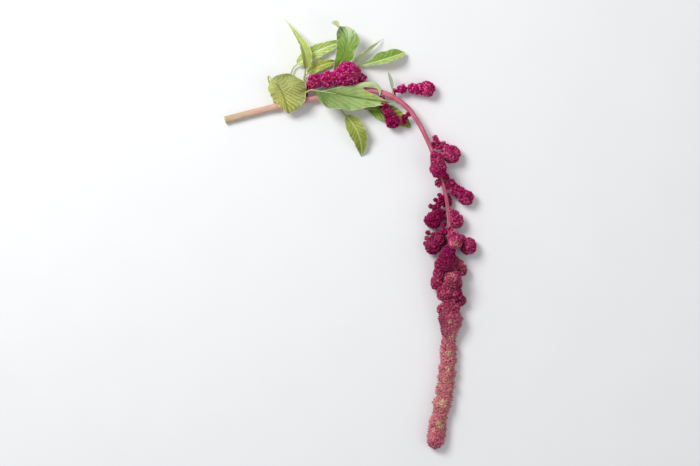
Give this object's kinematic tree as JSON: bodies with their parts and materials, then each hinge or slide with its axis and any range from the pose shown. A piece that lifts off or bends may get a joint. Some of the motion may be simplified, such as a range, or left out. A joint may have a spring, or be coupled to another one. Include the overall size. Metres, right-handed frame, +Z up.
{
  "type": "amaranth seed head",
  "caption": "Trailing amaranth seed head lying flat: an arched cut stem with leaves, short round flower spikes and one long drooping tassel.",
  "frame": {"origin": "on the surface that the seed head lies on, under the flat spot near the upper end of the long tassel", "axes": "+Z up from the surface, +Y from the tassel's tip towards the arch and the leaves, -X towards the stem's cut end"},
  "size_m": [0.2676, 0.4497, 0.0323],
  "materials": {
    "stem": "matt",
    "tassel": "matt",
    "spike": "matt",
    "leaf": "satin"
  },
  "bodies": {
    "root": {"stem": "stem", "tassel": "tassel", "leaf_01": "leaf", "leaf_02": "leaf", "leaf_03": "leaf", "leaf_04": "leaf", "leaf_05": "leaf", "leaf_06": "leaf", "leaf_07": "leaf", "leaf_08": "leaf", "leaf_09": "leaf", "leaf_10": "leaf", "bract_01": "leaf", "spike_01": "spike", "spike_02": "spike", "spike_03": "spike", "spike_04": "spike", "spike_05": "spike", "spike_06": "spike", "spike_07": "spike", "spike_08": "spike", "spike_09": "spike", "spike_10": "spike", "spike_11": "spike", "spike_12": "spike", "spike_13": "spike", "spike_14": "spike", "spike_15": "spike", "spike_16": "spike", "spike_17": "spike", "spike_18": "spike", "spike_19": "spike", "spike_20": "spike", "spike_21": "spike", "spike_22": "spike", "spike_23": "spike", "spike_24": "spike", "spike_25": "spike", "spike_26": "spike", "spike_27": "spike"}
  },
  "joints": []
}
